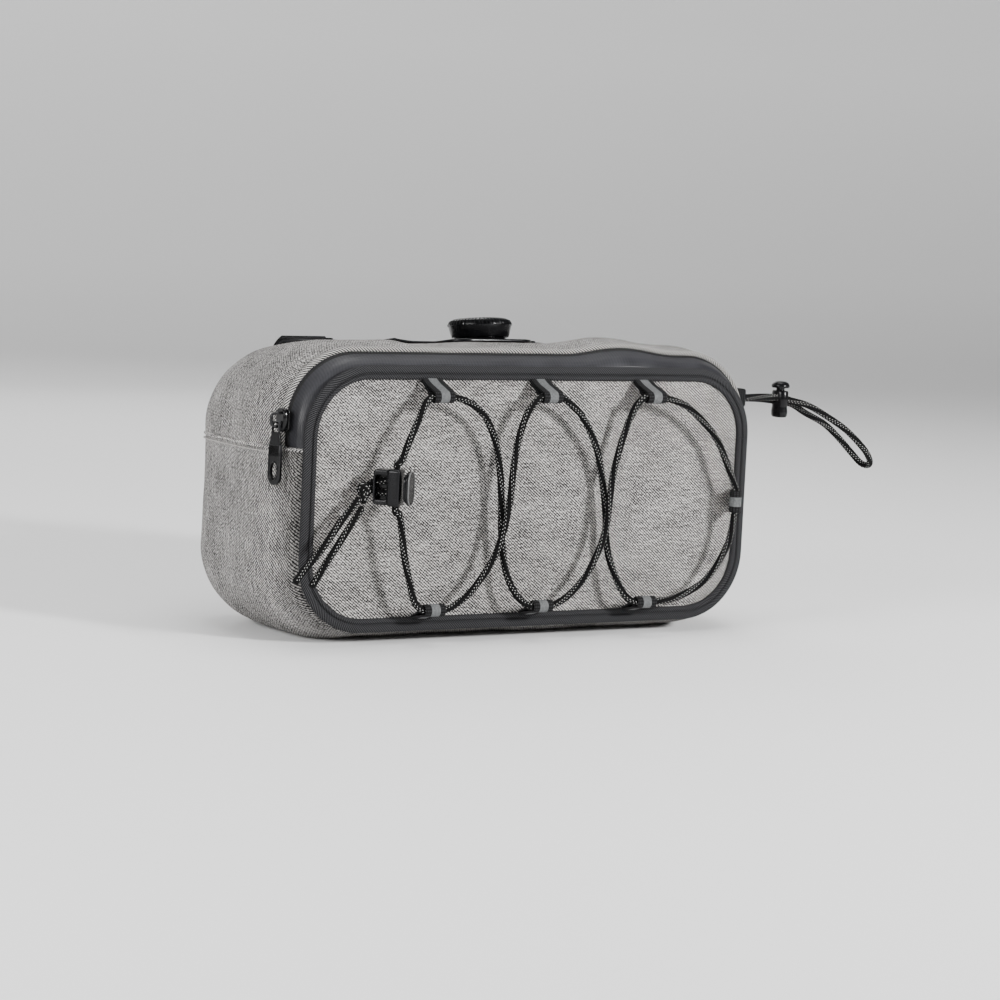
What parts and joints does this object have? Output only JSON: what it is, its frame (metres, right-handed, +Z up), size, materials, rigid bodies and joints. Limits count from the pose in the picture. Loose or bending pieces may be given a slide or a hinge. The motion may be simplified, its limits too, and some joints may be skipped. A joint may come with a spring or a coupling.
{
  "type": "bicycle handlebar bag",
  "caption": "Soft zipped handlebar bag with an elastic lace over its front, a side cord with a lock, bar straps and a rotary tensioner.",
  "frame": {"origin": "middle of the flat base under the bag, which is also below the tensioner", "axes": "+X along the handlebar to the right as seen from the front, +Y from the laced front to the back, +Z up"},
  "size_m": [0.3498, 0.1597, 0.1468],
  "materials": {
    "heather_cloth": "heather grey woven cloth with dark flecks",
    "piping_twill": "black twill binding",
    "coated_band": "charcoal coated zip tape, faintly ribbed",
    "webbing": "black webbing with a grey reflective stripe",
    "elastic_cord": "black braided elastic cord with white flecks",
    "black_plastic": "glossy black moulded plastic",
    "black_zip_metal": "gloss black painted zip metal"
  },
  "bodies": {
    "root": {"gusset_upper": "heather_cloth", "gusset_lower": "heather_cloth", "front_panel": "heather_cloth", "back_panel": "heather_cloth", "piping": "piping_twill", "zip_tape": "coated_band", "zip_coil": "black_zip_metal", "zip_slider": "black_zip_metal", "loop_top_1": "webbing", "loop_top_2": "webbing", "loop_top_3": "webbing", "loop_bottom_1": "webbing", "loop_bottom_2": "webbing", "loop_bottom_3": "webbing", "loop_right": "webbing", "front_cord": "elastic_cord", "cord_knot": "elastic_cord", "cord_tail_upper": "elastic_cord", "cord_tail_lower": "elastic_cord", "front_lock_body": "black_plastic", "side_anchor": "webbing", "side_cord": "elastic_cord", "side_lock_barrel": "black_plastic", "dial_base": "black_plastic", "top_flap": "webbing", "strap_left": "webbing", "strap_right": "webbing"},
    "hub": {"dial_hub": "black_plastic"},
    "knob": {"dial_knob": "black_plastic"},
    "pull": {"zip_pull": "black_zip_metal"},
    "front_button": {"front_lock_button": "black_plastic"},
    "side_button": {"side_lock_button": "black_plastic"}
  },
  "joints": [
    {"name": "dial_lift", "type": "slide", "parent": "root", "child": "hub", "axis": [0, 0.1364, 0.9907], "range_m": [0, 0.0028]},
    {"name": "dial_turn", "type": "hinge", "parent": "hub", "child": "knob", "pos_m": [0, 0.00004, 0.13346], "axis": [0, 0.1364, 0.9907], "continuous": true},
    {"name": "zip_pull_swing", "type": "hinge", "parent": "root", "child": "pull", "pos_m": [-0.1292, -0.0436, 0.10043], "axis": [-0.2588, 0.9659, 0], "range_deg": [0, 90]},
    {"name": "front_button_press", "type": "slide", "parent": "root", "child": "front_button", "axis": [-0.7071, 0.7071, 0], "range_m": [0, 0.0012], "stiffness_N_per_m": 300, "springref_m": -0.0005},
    {"name": "side_button_press", "type": "slide", "parent": "root", "child": "side_button", "axis": [0, 0, -1], "range_m": [0, 0.001], "stiffness_N_per_m": 300, "springref_m": -0.0005}
  ]
}
